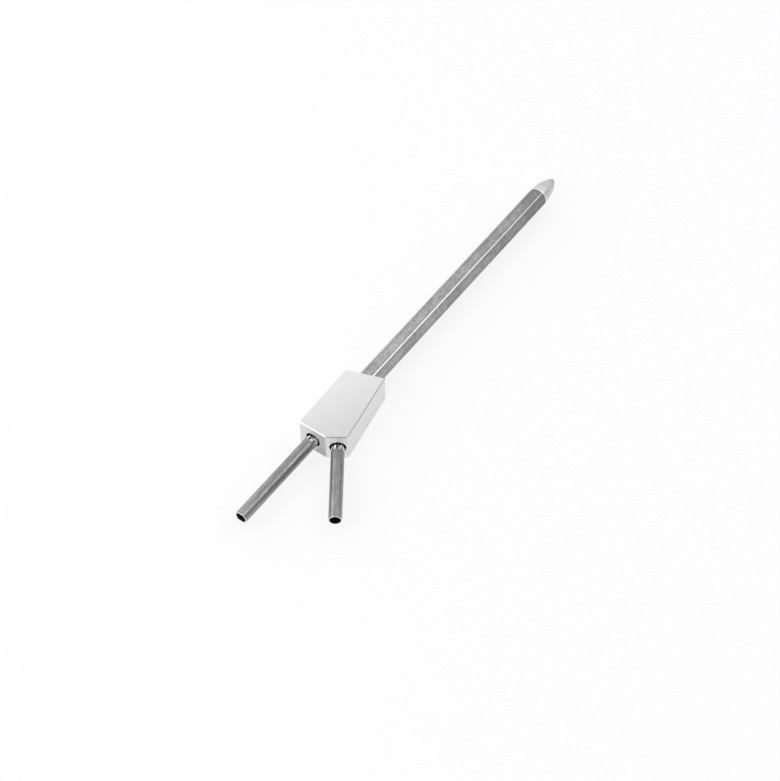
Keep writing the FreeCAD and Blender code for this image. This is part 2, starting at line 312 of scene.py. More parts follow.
    def smeared(self, tree: bpy.types.NodeTree, where: bpy.types.NodeSocket) -> bpy.types.NodeSocket:
        """Paint shade in blots on the front face, more towards its lower corner beside the angled outlet.

        Args:
            tree: the material's node tree.
            where: the Object coordinates, in metres.

        Returns:
            The front face's colour, with its painted shade.
        """
        blots = add_node(tree, "ShaderNodeTexNoise", {}, {
            "Vector": where, "Scale": 1 / (self.smear_mm * MM), "Detail": 4.0})
        lean = add_node(tree, "ShaderNodeVectorMath", {"operation": "DOT_PRODUCT"}, (
            where, tuple(part / MM for part in self.smear_side)), "Value")
        share = add_node(tree, "ShaderNodeMath", {"operation": "ADD"}, (blots, lean))
        share = add_node(tree, "ShaderNodeMapRange", {}, (share, *self.smear))
        return add_node(tree, "ShaderNodeMix", {"data_type": "RGBA"}, {
            "Factor": share, "A": linear(self.front_colour), "B": linear(self.smear_colour)}, 2)

    def face_marks(self, tree: bpy.types.NodeTree, where: bpy.types.NodeSocket,
                   entry: tuple[float, float, float], turn: float) -> tuple[bpy.types.NodeSocket, ...]:
        """Find the rings on a tube's face, the painted shade inside its recess and the face itself.

        Args:
            tree: the material's node tree.
            where: the Object coordinates, in metres.
            entry: where the tube's axis meets the face.
            turn: the axis's angle from the X axis.

        Returns:
            The rings' height, the recess's painted shade by depth, and whether a point is on the face.
        """
        local = add_node(tree, "ShaderNodeMapping", {"vector_type": "TEXTURE"}, {
            "Vector": where, "Location": entry, "Rotation": (0.0, 0.0, turn), "Scale": (MM, MM, MM)})
        depth = add_node(tree, "ShaderNodeSeparateXYZ", {}, (local,), "X")
        flat = add_node(tree, "ShaderNodeVectorMath", {"operation": "MULTIPLY"}, (local, (0.0, 1.0, 1.0)))
        radius = add_node(tree, "ShaderNodeVectorMath", {"operation": "LENGTH"}, (flat,), "Value")
        phase = add_node(tree, "ShaderNodeMath", {"operation": "MULTIPLY"}, (
            radius, 2 * math.pi / self.ring_pitch_mm))
        wave = add_node(tree, "ShaderNodeMath", {"operation": "SINE"}, (phase,))
        near = add_node(tree, "ShaderNodeMapRange", {}, (
            radius, self.recess_mm, self.ring_reach_mm, self.ring_share, 0.0))
        faced = add_node(tree, "ShaderNodeMath", {"operation": "COMPARE"}, (depth, 0.0, self.face_mm))
        ring = add_node(tree, "ShaderNodeMath", {"operation": "MULTIPLY"}, (
            add_node(tree, "ShaderNodeMath", {"operation": "MULTIPLY"}, (wave, near)), faced))
        deep = add_node(tree, "ShaderNodeMapRange", {}, (depth, *self.recess_dark))
        close = add_node(tree, "ShaderNodeMath", {"operation": "LESS_THAN"}, (radius, self.recess_mm))
        shallow = add_node(tree, "ShaderNodeMath", {"operation": "LESS_THAN"}, (depth, self.socket_mm))
        inside = add_node(tree, "ShaderNodeMath", {"operation": "MULTIPLY"}, (
            deep, add_node(tree, "ShaderNodeMath", {"operation": "MULTIPLY"}, (close, shallow))))
        return ring, inside, faced


@dataclass(frozen=True)
class DrawnBar(Metal):
    """Stainless hexagonal bar, cold drawn: dull grey with lines along it and darker patches.

    Its upper and lower corners are rubbed smooth and carry a painted highlight, more on the side of the
    angled outlet. Painted shade darkens it beside each corner and towards the front end, by the nose. All
    ramps but those on noise are in millimetres.
    """

    name: str = "drawn_stainless_bar"
    colour: str = "#c4c4c4"
    dim_colour: str = "#929292"
    relief_mm: float = 0.03
    line_mm: float = 0.6  # real drawing lines of 0.1 mm, drawn coarser so that they show
    line_length_mm: float = 4.0
    patch_mm: float = 22.0
    lined: Ramp = Ramp(0.7, 1.3)  # from dim to full colour, by lines and patches
    line_rough: Ramp = Ramp(start=0.44, end=0.36)
    grain_mm: float = 0.9  # real pickled grain of 0.05 mm, drawn coarser so that it shows
    grain_tone: Ramp = Ramp(0.3, 0.7, 0.76, 1.24)
    beside_tone: Ramp = Ramp(7.6, 8.3, 1.06, 0.84)  # painted shade: darker beside a corner, by distance from the axis
    front_tone: Ramp = Ramp(140.0, 231.0, 1.0, 0.68)  # painted shade, darker towards the nose, along the axis
    # painted highlight along the upper and lower corners, with the rubbed corners' lower roughness
    bright_colour: str = "#f0f0f0"
    bright_rough: float = 0.34
    corner: Ramp = Ramp(8.3, 8.36)  # by distance from the axis: where a rubbed corner starts
    corner_fade: Ramp = Ramp(100.0, 231.0, 1.0, 0.55)  # along the axis
    corner_level: Ramp = Ramp(3.0, 5.0, 0.1, 1.0)  # by distance above or below the axis
    corner_side: Ramp = Ramp(-1.0, 2.0, 1.0, 0.15)  # across, away from the angled outlet

    def pattern(self, tree: bpy.types.NodeTree, where: bpy.types.NodeSocket) -> Surface:
        """Work out the lines, the patches and the corners.

        Args:
            tree: the material's node tree.
            where: the Object coordinates, in metres.

        Returns:
            Colour, roughness and height.
        """
        local = add_node(tree, "ShaderNodeVectorMath", {"operation": "SCALE"}, {0: where, "Scale": 1 / MM})
        along = add_node(tree, "ShaderNodeMapping", {}, {
            "Vector": local, "Scale": (1 / self.line_length_mm, 1 / self.line_mm, 1 / self.line_mm)})
        lines = add_node(tree, "ShaderNodeTexNoise", {}, {
            "Vector": along, "Scale": 1.0, "Detail": 3.0, "Roughness": 0.6})
        patch = add_node(tree, "ShaderNodeTexNoise", {}, {
            "Vector": local, "Scale": 1 / self.patch_mm, "Detail": 6.0, "Roughness": 0.7})
        share = add_node(tree, "ShaderNodeMath", {"operation": "ADD"}, (lines, patch))
        share = add_node(tree, "ShaderNodeMapRange", {}, (share, *self.lined))
        colour = add_node(tree, "ShaderNodeMix", {"data_type": "RGBA"}, {
            "Factor": share, "A": linear(self.dim_colour), "B": linear(self.colour)}, 2)
        grain = add_node(tree, "ShaderNodeTexNoise", {}, {
            "Vector": local, "Scale": 1 / self.grain_mm, "Detail": 1.0})
        flat = add_node(tree, "ShaderNodeVectorMath", {"operation": "MULTIPLY"}, (local, (0.0, 1.0, 1.0)))
        radius = add_node(tree, "ShaderNodeVectorMath", {"operation": "LENGTH"}, (flat,), "Value")
        split = add_node(tree, "ShaderNodeSeparateXYZ", {}, (local,)).node.outputs
        # painted shade beside the corners and towards the nose, with the grain's own tone
        tone = add_node(tree, "ShaderNodeMapRange", {}, (radius, *self.beside_tone))
        for value, ramp in ((split["X"], self.front_tone), (grain, self.grain_tone)):
            part = add_node(tree, "ShaderNodeMapRange", {}, (value, *ramp))
            tone = add_node(tree, "ShaderNodeMath", {"operation": "MULTIPLY"}, (tone, part))
        colour = add_node(tree, "ShaderNodeVectorMath", {"operation": "SCALE"}, {0: colour, "Scale": tone})
        height = add_node(tree, "ShaderNodeMath", {"operation": "ABSOLUTE"}, (split["Z"],))
        # painted highlight along the corners, fading towards the nose
        corner = add_node(tree, "ShaderNodeMapRange", {}, (radius, *self.corner))
        for value, ramp in ((split["X"], self.corner_fade), (height, self.corner_level),
                            (split["Y"], self.corner_side)):
            part = add_node(tree, "ShaderNodeMapRange", {}, (value, *ramp))
            corner = add_node(tree, "ShaderNodeMath", {"operation": "MULTIPLY"}, (corner, part))
        colour = add_node(tree, "ShaderNodeMix", {"data_type": "RGBA"}, {
            "Factor": corner, "A": colour, "B": linear(self.bright_colour)}, 2)
        rough = add_node(tree, "ShaderNodeMapRange", {}, (share, *self.line_rough))
        rough = add_node(tree, "ShaderNodeMix", {}, {"Factor": corner, "A": rough, "B": self.bright_rough})
        return Surface(colour, rough, lines)


@dataclass(frozen=True)
class TurnedSteel(Metal):
    """Stainless steel turned on a lathe with a fine feed: bright, with close rings round its axis.

    Its straight part next to the boom was polished when the joint was dressed, and it carries a painted
    highlight. Its colour is darker towards its tip.
    """

    name: str = "turned_stainless"
    colour: str = "#e6e6e6"
    dim_colour: str = "#cccccc"
    relief_mm: float = 0.02
    metallic: float = 0.8
    feed_mm: float = 0.5  # real feed of 0.1 mm, drawn coarser so that it shows
    uneven_per_m: float = 60.0  # how often a ring varies on its way round
    ringed: Ramp = Ramp(0.35, 0.65)
    ring_rough: Ramp = Ramp(start=0.46, end=0.58)
    tip_tone: Ramp = Ramp(244.0 * MM, 252.0 * MM, 1.0, 0.78)  # darker towards the tip, along the axis
    land: Ramp = Ramp(232.0 * MM, 232.4 * MM, 1.0, 0.0)  # along the axis: where the straight part ends
    # painted highlight: the straight part is painted brighter; its lower roughness is the polish
    land_colour: str = "#f6f6f6"
    land_rough: float = 0.4

    def pattern(self, tree: bpy.types.NodeTree, where: bpy.types.NodeSocket) -> Surface:
        """Work out the rings, the dull tip and the polished straight part.

        Args:
            tree: the material's node tree.
            where: the Object coordinates, in metres.

        Returns:
            Colour, roughness and height.
        """
        rings = add_node(tree, "ShaderNodeMapping", {}, {
            "Vector": where, "Scale": (1 / (self.feed_mm * MM), self.uneven_per_m, self.uneven_per_m)})
        noise = add_node(tree, "ShaderNodeTexNoise", {}, {"Vector": rings, "Scale": 1.0, "Detail": 2.0})
        share = add_node(tree, "ShaderNodeMapRange", {}, (noise, *self.ringed))
        colour = add_node(tree, "ShaderNodeMix", {"data_type": "RGBA"}, {
            "Factor": share, "A": linear(self.dim_colour), "B": linear(self.colour)}, 2)
        x = add_node(tree, "ShaderNodeSeparateXYZ", {}, (where,), "X")
        tip = add_node(tree, "ShaderNodeMapRange", {}, (x, *self.tip_tone))
        colour = add_node(tree, "ShaderNodeVectorMath", {"operation": "SCALE"}, {0: colour, "Scale": tip})
        # painted highlight on the straight part by the boom
        land = add_node(tree, "ShaderNodeMapRange", {}, (x, *self.land))
        colour = add_node(tree, "ShaderNodeMix", {"data_type": "RGBA"}, {
            "Factor": land, "A": colour, "B": linear(self.land_colour)}, 2)
        rough = add_node(tree, "ShaderNodeMapRange", {}, (noise, *self.ring_rough))
        rough = add_node(tree, "ShaderNodeMix", {}, {"Factor": land, "A": rough, "B": self.land_rough})
        return Surface(colour, rough, noise)


@dataclass(frozen=True)
class DrawnTube(Metal):
    """Stainless tube, drawn and pickled: satin grey, streaked along its length.

    Where it enters the block it carries a painted reflection of the block, broken by dark spots, and is
    smoother there. It is painted a little brighter towards its open end, as painted light, and its cut end
    carries a painted highlight.
    """

    colour: str = "#a6a6a6"
    dim_colour: str = "#787878"
    relief_mm: float = 0.01
    entry: tuple[float, float, float] = FRONT_ENTRY
    turn: float = 0.0
    reach_mm: float = 85.0
    streak_mm: float = 0.6  # real streaks of 0.2 mm, drawn coarser so that they show
    streak_length_mm: float = 12.0
    grain_mm: float = 0.9  # real pickled grain of 0.05 mm, drawn coarser so that it shows
    grain_share: float = 0.6  # how much the grain counts beside the streaks
    streaked: Ramp = Ramp(0.58, 1.02)
    streak_rough: Ramp = Ramp(start=0.36, end=0.28)
    hose_mm: float = 35.0  # from the open end, how far the painted light reaches
    # painted light: how much brighter the open end is painted
    hose_tone: float = 1.25
    spot_mm: float = 1.9
    spot_length_mm: float = 5.0
    ragged_mm: float = 3.0  # how far the painted reflection's end wanders
    wiped: Ramp = Ramp(-3.2, -2.4)  # where the painted reflection ends, along the axis, in millimetres from the block's face
    stained: Ramp = Ramp(0.42, 0.5)  # from dark spot to painted reflection, by spots
    # painted reflection near the block: its dark spots and its bright colour, which is also the cut end's
    # painted highlight
    stain_colour: str = "#3c3c3c"
    bright_colour: str = "#f6f6f6"
    bright_rough: float = 0.12
    cut_mm: tuple[float, float] = (0.1, 0.4)  # the painted highlight's length at the cut end, and where the tube's grey is full

    def pattern(self, tree: bpy.types.NodeTree, where: bpy.types.NodeSocket) -> Surface:
        """Work out the streaks and the bright ends.

        Args:
            tree: the material's node tree.
            where: the Object coordinates, in metres.

        Returns:
            Colour, roughness and height.
        """
        local = add_node(tree, "ShaderNodeMapping", {"vector_type": "TEXTURE"}, {
            "Vector": where, "Location": self.entry, "Rotation": (0.0, 0.0, self.turn),
            "Scale": (MM, MM, MM)})
        along = add_node(tree, "ShaderNodeMapping", {}, {
            "Vector": local, "Scale": (1 / self.streak_length_mm, 1 / self.streak_mm, 1 / self.streak_mm)})
        streaks = add_node(tree, "ShaderNodeTexNoise", {}, {
            "Vector": along, "Scale": 1.0, "Detail": 3.0, "Roughness": 0.6})
        grain = add_node(tree, "ShaderNodeTexNoise", {}, {
            "Vector": local, "Scale": 1 / self.grain_mm, "Detail": 1.0})
        share = add_node(tree, "ShaderNodeMath", {"operation": "MULTIPLY_ADD"}, (
            grain, self.grain_share, streaks))
        share = add_node(tree, "ShaderNodeMapRange", {}, (share, *self.streaked))
        colour = add_node(tree, "ShaderNodeMix", {"data_type": "RGBA"}, {
            "Factor": share, "A": linear(self.dim_colour), "B": linear(self.colour)}, 2)
        x = add_node(tree, "ShaderNodeSeparateXYZ", {}, (local,), "X")
        # painted light: brighter towards the open end
        handled = add_node(tree, "ShaderNodeMapRange", {}, (
            x, -self.reach_mm, self.hose_mm - self.reach_mm, self.hose_tone, 1.0))
        colour = add_node(tree, "ShaderNodeVectorMath", {"operation": "SCALE"}, {
            0: colour, "Scale": handled})
        # painted reflection of the block near its face, broken by dark spots
        blotched = add_node(tree, "ShaderNodeMapping", {}, {
            "Vector": local, "Scale": (1 / self.spot_length_mm, 1 / self.spot_mm, 1 / self.spot_mm)})
        spots = add_node(tree, "ShaderNodeTexNoise", {}, {"Vector": blotched, "Scale": 1.0, "Detail": 1.0})
        wiped = add_node(tree, "ShaderNodeMath", {"operation": "MULTIPLY_ADD"}, (spots, self.ragged_mm, x))
        wiped = add_node(tree, "ShaderNodeMapRange", {}, (wiped, *self.wiped))
        stained = add_node(tree, "ShaderNodeMapRange", {}, (spots, *self.stained))
        stained = add_node(tree, "ShaderNodeMix", {"data_type": "RGBA"}, {
            "Factor": stained, "A": linear(self.stain_colour), "B": linear(self.bright_colour)}, 2)
        colour = add_node(tree, "ShaderNodeMix", {"data_type": "RGBA"}, {
            "Factor": wiped, "A": colour, "B": stained}, 2)
        # painted highlight on the cut end
        cut = add_node(tree, "ShaderNodeMapRange", {}, (
            x, self.cut_mm[0] - self.reach_mm, self.cut_mm[1] - self.reach_mm, 1.0, 0.0))
        colour = add_node(tree, "ShaderNodeMix", {"data_type": "RGBA"}, {
            "Factor": cut, "A": colour, "B": linear(self.bright_colour)}, 2)
        rough = add_node(tree, "ShaderNodeMapRange", {}, (share, *self.streak_rough))
        rough = add_node(tree, "ShaderNodeMix", {}, {"Factor": wiped, "A": rough, "B": self.bright_rough})
        return Surface(colour, rough, streaks)


# ---------------------------------------------------------------- studio


@dataclass(frozen=True)
class SoftBox:
    """A square soft light that faces the probe. Angles are in degrees and lengths in metres."""

    name: str
    azimuth: float
    elevation: float
    side: float
    radiance: float
    distance: float = 1.6

    def build(self, target: Vector) -> None:
        """Make the lamp.

        Args:
            target: the point it faces.
        """
        turn, rise = math.radians(self.azimuth), math.radians(self.elevation)
        outward = Vector((math.cos(turn) * math.cos(rise), math.sin(turn) * math.cos(rise), math.sin(rise)))
        lamp = bpy.data.lights.new(self.name, "AREA")
        lamp.shape = "SQUARE"
        lamp.size = self.side
        lamp.energy = self.radiance * math.pi * self.side**2
        holder = bpy.data.objects.new(self.name, lamp)
        holder.location = target + outward * self.distance
        holder.rotation_mode = "QUATERNION"
        holder.rotation_quaternion = outward.to_track_quat("Z", "Y")
        bpy.context.scene.collection.objects.link(holder)


@dataclass(frozen=True)
class Camera:
    """The camera, placed by the direction from what it aims at.

    Angles are in degrees, lengths in metres and the lens in millimetres.
    """

    azimuth: float = -53.80
    elevation: float = 52.28
    roll: float = -0.32
    distance: float = 1.7623
    aim: tuple[float, float, float] = (0.0059, -0.01893, 0.0)
    lens: float = 109.73
    nearest: float = 0.1
    farthest: float = 20.0

    def build(self) -> None:
        """Make the camera and set it as the scene's."""
        turn, rise = math.radians(self.azimuth), math.radians(self.elevation)
        back = Vector((math.sin(turn) * math.cos(rise), -math.cos(turn) * math.cos(rise), math.sin(rise)))
        data = bpy.data.cameras.new("camera")
        data.lens = self.lens
        data.clip_start, data.clip_end = self.nearest, self.farthest
        camera = bpy.data.objects.new("camera", data)
        camera.rotation_mode = "QUATERNION"
        facing = (-back).to_track_quat("-Z", "Y").to_matrix()
        rolled = facing @ Matrix.Rotation(math.radians(self.roll), 3, "Z")
        camera.rotation_quaternion = rolled.to_quaternion()
        camera.location = Vector(self.aim) + back * self.distance
        bpy.context.scene.collection.objects.link(camera)
        bpy.context.scene.camera = camera


@dataclass(frozen=True)
class Studio:
    """A pale floor under the probe, soft boxes, and a pale world with two dimmer parts."""

    floor_radius: float = 0.9
    floor_sides: int = 96
    floor_drop_mm: float = 0.1  # how far it lies under the probe, so that the two don't share a plane
    floor_colour: str = "#ffffff"
    shadow_share: float = 0.2  # how much of the floor's look is lit, and so takes a shadow
    mirrored_share: float = 0.5  # how much of the plain white more a mirrored floor has
    room_colour: str = "#ffffff"
    sky: Ramp = Ramp(0.0, 0.8, 0.55, 0.98)  # strength by height
    near_side: tuple[float, float, float] = (-0.05, -0.98, 0.2)  # where the room is a little dimmer
    near_dim: Ramp = Ramp(0.15, 0.6, 1.0, 0.66)
    above_side: tuple[float, float, float] = (-0.64, -0.44, 0.63)  # what the block's upper edges mirror
    above_dim: Ramp = Ramp(0.9, 0.97, 1.0, 0.6)
    boxes: tuple[SoftBox, ...] = (
        SoftBox("key_box", azimuth=-42.0, elevation=49.0, side=0.55, radiance=2.5),
        SoftBox("back_box", azimuth=80.0, elevation=22.0, side=0.9, radiance=0.9),
        SoftBox("left_box", azimuth=155.0, elevation=34.0, side=0.9, radiance=1.6),
    )

    def build(self) -> None:
        """Make floor, world and lamps."""
        low, high = CAD_BOUNDS
        self.build_floor(low.z - self.floor_drop_mm * MM)
        self.build_world()
        for box in self.boxes:
            box.build((low + high) / 2)

    def build_floor(self, height: float) -> None:
        """Make the floor, a disc that looks white, keeps a faint shadow and is clear from below.

        Args:
            height: the floor's height.
        """
        turns = [2 * math.pi * side / self.floor_sides for side in range(self.floor_sides)]
        ring = [(self.floor_radius * math.cos(turn), self.floor_radius * math.sin(turn), height)
                for turn in turns]
        mesh = bpy.data.meshes.new("floor")
        mesh.from_pydata(ring, [], [tuple(range(self.floor_sides))])
        floor = bpy.data.objects.new("floor", mesh)
        bpy.context.scene.collection.objects.link(floor)

        material = bpy.data.materials.new("white_paper")
        material.use_nodes = True
        tree = material.node_tree
        tree.nodes.clear()
        ray = add_node(tree, "ShaderNodeLightPath", {}, {}).node.outputs
        mirrored = add_node(tree, "ShaderNodeMath", {"operation": "MAXIMUM"}, (
            ray["Is Glossy Ray"], ray["Is Transmission Ray"]))
        mirrored = add_node(tree, "ShaderNodeMath", {"operation": "MULTIPLY"}, (
            mirrored, self.mirrored_share))
        share = add_node(tree, "ShaderNodeMath", {"operation": "MULTIPLY_ADD"}, (
            ray["Is Camera Ray"], 1 - self.shadow_share, mirrored))
        lit = add_node(tree, "ShaderNodeBsdfDiffuse", {}, {"Color": linear(self.floor_colour)})
        white = add_node(tree, "ShaderNodeEmission", {}, {
            "Color": linear(self.room_colour), "Strength": 1.0})
        mixed = add_node(tree, "ShaderNodeMixShader", {}, (share, lit, white))
        below = add_node(tree, "ShaderNodeNewGeometry", {}, {}, "Backfacing")
        clear = add_node(tree, "ShaderNodeBsdfTransparent", {}, {})
        mixed = add_node(tree, "ShaderNodeMixShader", {}, (below, mixed, clear))
        add_node(tree, "ShaderNodeOutputMaterial", {}, {"Surface": mixed})
        mesh.materials.append(material)

    def build_world(self) -> None:
        """Make the world: white to the camera, and soft grey to everything it lights."""
        world = bpy.data.worlds.new("studio")
        world.use_nodes = True
        bpy.context.scene.world = world
        tree = world.node_tree
        tree.nodes.clear()
        direction = add_node(tree, "ShaderNodeTexCoord", {}, {}, "Generated")
        up = add_node(tree, "ShaderNodeSeparateXYZ", {}, (direction,), "Z")
        level = add_node(tree, "ShaderNodeMapRange", {}, (up, *self.sky))
        for side, ramp in ((self.near_side, self.near_dim), (self.above_side, self.above_dim)):
            towards = add_node(tree, "ShaderNodeVectorMath", {"operation": "DOT_PRODUCT"}, (
                direction, side), "Value")
            dim = add_node(tree, "ShaderNodeMapRange", {}, (towards, *ramp))
            level = add_node(tree, "ShaderNodeMath", {"operation": "MULTIPLY"}, (level, dim))
        ray = add_node(tree, "ShaderNodeLightPath", {}, {}, "Is Camera Ray")
        colour = linear(self.room_colour)
        lighting = add_node(tree, "ShaderNodeBackground", {}, {"Color": colour, "Strength": level})
        white = add_node(tree, "ShaderNodeBackground", {}, {"Color": colour, "Strength": 1.0})
        mixed = add_node(tree, "ShaderNodeMixShader", {}, (ray, lighting, white))
        add_node(tree, "ShaderNodeOutputWorld", {}, {"Surface": mixed})


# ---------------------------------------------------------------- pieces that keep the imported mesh


@dataclass(frozen=True)
class PackedPiece:
    """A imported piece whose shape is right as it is, and which gets its finish."""

    node: Node
    finish: Metal

    def build(self) -> None:
        """Give the piece its finish, in all of its slots."""
        material = self.finish.build()
        for slot in frame["nodes"][self.node.value].material_slots:
            slot.material = material
        LOG.info("dressed %s in %s", self.node.value, material.name)


@dataclass(frozen=True)
class Block(PackedPiece):
    """The block that joins the boom and the two outlet tubes."""

    node: Node = Node.BLOCK
    finish: Metal = BlastedAluminium()


@dataclass(frozen=True)
class Boom(PackedPiece):
    """The hexagonal bar between the block and the nose."""

    node: Node = Node.BOOM
    finish: Metal = DrawnBar()


@dataclass(frozen=True)
class PressureLine(PackedPiece):
    """The thin line inside the boom, seen only through the ports."""

    node: Node = Node.PRESSURE_LINE
    finish: Metal = DrawnTube("drawn_stainless_line", "#a0a0a0", "#7c7c7c")


# ---------------------------------------------------------------- turned pieces


class TurningTree:
    """A Geometry Nodes tree that turns a half section round the X axis and drills a ring of holes in it."""

    sizes: tuple[tuple[str, str], ...] = (
        ("Hub Radius", "NodeSocketFloat"),  # radius of the circle that the half section is swept along
        ("Steps", "NodeSocketInt"),
        ("Soft Angle", "NodeSocketFloat"),
        ("Hole Count", "NodeSocketInt"),
        ("Hole Radius", "NodeSocketFloat"),
        ("Hole Place", "NodeSocketFloat"),
        ("Hole Turn", "NodeSocketFloat"),
        ("Hole Start", "NodeSocketFloat"),
        ("Hole Depth", "NodeSocketFloat"),
        ("Place", "NodeSocketVector"),
        ("Turn", "NodeSocketVector"),
        ("Material", "NodeSocketMaterial"),
    )
    hole_sides: int = 24

    def __init__(self) -> None:
        """Build the tree."""
        self.tree = bpy.data.node_groups.new("turned_piece", "GeometryNodeTree")
        sockets = self.tree.interface
        sockets.new_socket("Half Section", in_out="INPUT", socket_type="NodeSocketGeometry")
        self.keys = {name: sockets.new_socket(name, in_out="INPUT", socket_type=kind).identifier
                     for name, kind in self.sizes}
        sockets.new_socket("Piece", in_out="OUTPUT", socket_type="NodeSocketGeometry")
        given = add_node(self.tree, "NodeGroupInput", {}, {}).node.outputs
        drilled = add_node(
            self.tree, "GeometryNodeMeshBoolean", {"operation": "DIFFERENCE", "solver": "EXACT"},
            {"Mesh 1": self.swept(given), "Mesh 2": self.cutters(given)})
        bare = add_node(self.tree, "FunctionNodeCompare", {"data_type": "INT", "operation": "EQUAL"}, {
            2: given["Hole Count"], 3: 0})
        whole = add_node(self.tree, "GeometryNodeSwitch", {"input_type": "GEOMETRY"}, {
            "Switch": bare, "False": drilled, "True": self.swept(given)})
        placed = add_node(self.tree, "GeometryNodeTransform", {}, {
            "Geometry": whole, "Translation": given["Place"], "Rotation": given["Turn"]})
        angle = add_node(self.tree, "GeometryNodeInputMeshEdgeAngle", {}, {})
        sharp = add_node(self.tree, "FunctionNodeCompare", {"operation": "GREATER_THAN"}, (
            angle, given["Soft Angle"]))
        soft = add_node(self.tree, "GeometryNodeSetShadeSmooth", {"domain": "FACE"}, {
            "Geometry": placed, "Shade Smooth": True})
        soft = add_node(self.tree, "GeometryNodeSetShadeSmooth", {"domain": "EDGE"}, {
            "Geometry": soft, "Selection": sharp, "Shade Smooth": False})
        real = add_node(self.tree, "GeometryNodeRealizeInstances", {}, {"Geometry": soft})
        finished = add_node(self.tree, "GeometryNodeSetMaterial", {}, {
            "Geometry": real, "Material": given["Material"]})
        add_node(self.tree, "NodeGroupOutput", {}, {"Piece": finished})

    def swept(self, given: bpy.types.bpy_prop_collection) -> bpy.types.NodeSocket:
        """Sweep the half section round a circle, and lay its axis along X.

        Args:
            given: the tree's inputs.

        Returns:
            The turned piece.
        """
        section = add_node(self.tree, "GeometryNodeMeshToCurve", {}, {"Mesh": given["Half Section"]})
        circle = add_node(self.tree, "GeometryNodeCurvePrimitiveCircle", {"mode": "RADIUS"}, {
            "Resolution": given["Steps"], "Radius": given["Hub Radius"]})
        swept = add_node(self.tree, "GeometryNodeCurveToMesh", {}, {
            "Curve": circle, "Profile Curve": section})
        return add_node(self.tree, "GeometryNodeTransform", {}, {
            "Geometry": swept, "Rotation": (0.0, -math.pi / 2, 0.0)})

    def cutters(self, given: bpy.types.bpy_prop_collection) -> bpy.types.NodeSocket:
        """Spread cylinders evenly round the X axis, each pointing away from it.

        Args:
            given: the tree's inputs.

        Returns:
            The cylinders.
        """
        pitch = add_node(self.tree, "ShaderNodeMath", {"operation": "DIVIDE"}, (
            2 * math.pi, given["Hole Count"]))
        number = add_node(self.tree, "GeometryNodeInputIndex", {}, {})
        turn = add_node(self.tree, "ShaderNodeMath", {"operation": "MULTIPLY_ADD"}, (
            number, pitch, given["Hole Turn"]))
        outwards = add_node(self.tree, "ShaderNodeCombineXYZ", {}, {
            "Y": add_node(self.tree, "ShaderNodeMath", {"operation": "SINE"}, (turn,)),
            "Z": add_node(self.tree, "ShaderNodeMath", {"operation": "COSINE"}, (turn,))})
        place = add_node(self.tree, "ShaderNodeCombineXYZ", {}, {"X": given["Hole Place"]})
        start = add_node(self.tree, "ShaderNodeVectorMath", {"operation": "SCALE"}, {
            0: outwards, "Scale": given["Hole Start"]})
        middle = add_node(self.tree, "ShaderNodeVectorMath", {"operation": "ADD"}, (place, start))
        spots = add_node(self.tree, "GeometryNodePoints", {}, {
            "Count": given["Hole Count"], "Position": middle})
        cylinder = add_node(self.tree, "GeometryNodeMeshCylinder", {}, {
            "Vertices": self.hole_sides, "Radius": given["Hole Radius"], "Depth": given["Hole Depth"]})
        facing = add_node(self.tree, "FunctionNodeAlignRotationToVector", {"axis": "Z"}, {
            "Vector": outwards})
        ring = add_node(self.tree, "GeometryNodeInstanceOnPoints", {}, {
            "Points": spots, "Instance": cylinder, "Rotation": facing})
        return add_node(self.tree, "GeometryNodeRealizeInstances", {}, {"Geometry": ring})


@dataclass(frozen=True)
class TurnedPiece:
    """A piece turned round an axis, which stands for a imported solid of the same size.

    Its place is in metres and its turn in radians. The sizes of its section are in millimetres.
    """

    name: str
    node: Node
    finish: Metal
    slot: Slot = Slot.TUBE
    steps: int = 128
    soft_angle: float = 20.0  # degrees between two faces, up to which the edge between them is smooth
    place: tuple[float, float, float] = (0.0, 0.0, 0.0)
    turn: float = 0.0

    def section(self) -> list[tuple[float, float]]:
        """Give the corners of the half section, in millimetres along and away from the axis."""
        raise NotImplementedError

    def holes(self) -> dict[str, float]:
        """Give the sizes of the ring of holes, by the names of the tree's inputs."""
        return {"Hole Count": 0}

    def build(self, turning: TurningTree) -> None:
        """Turn the piece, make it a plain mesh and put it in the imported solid's stead.

        Args:
            turning: the tree that turns it.
        """
        corners = self.section()
        hub = min(radius for _, radius in corners) / 2 * MM
        outline = bpy.data.meshes.new(self.name + "_section")
        outline.from_pydata([(radius * MM - hub, x * MM, 0.0) for x, radius in corners],
                            [(spot, (spot + 1) % len(corners)) for spot in range(len(corners))], [])
        blank = bpy.data.objects.new(self.name + "_blank", outline)
        bpy.context.scene.collection.objects.link(blank)
        modifier = blank.modifiers.new("turning", "NODES")
        modifier.node_group = turning.tree
        values = {"Hub Radius": hub, "Steps": self.steps, "Soft Angle": math.radians(self.soft_angle),
                  "Place": self.place, "Turn": (0.0, 0.0, self.turn), "Material": self.finish.build(),
                  **self.holes()}
        for name, value in values.items():
            modifier[turning.keys[name]] = value
        bpy.context.view_layer.update()
        graph = bpy.context.evaluated_depsgraph_get()
        mesh = bpy.data.meshes.new_from_object(blank.evaluated_get(graph), depsgraph=graph)
        mesh.name = self.name
        bpy.data.objects.remove(blank, do_unlink=True)
        self.face_outwards(mesh)
        piece = bpy.data.objects.new(self.name, mesh)
        bpy.context.scene.collection.objects.link(piece)
        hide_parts(self.node.value)
        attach(piece, "root")
        LOG.info("turned %s: %d faces", self.name, len(mesh.polygons))

    def face_outwards(self, mesh: bpy.types.Mesh) -> None:
        """Merge doubles and turn every face outwards.

        Args:
            mesh: the finished mesh.
        """
        shape = bmesh.new()
        shape.from_mesh(mesh)
        bmesh.ops.remove_doubles(shape, verts=shape.verts, dist=MERGE)
        bmesh.ops.recalc_face_normals(shape, faces=shape.faces)
        LOG.info("%s: %d open edges", self.name, sum(not edge.is_manifold for edge in shape.edges))
        shape.to_mesh(mesh)
        shape.free()


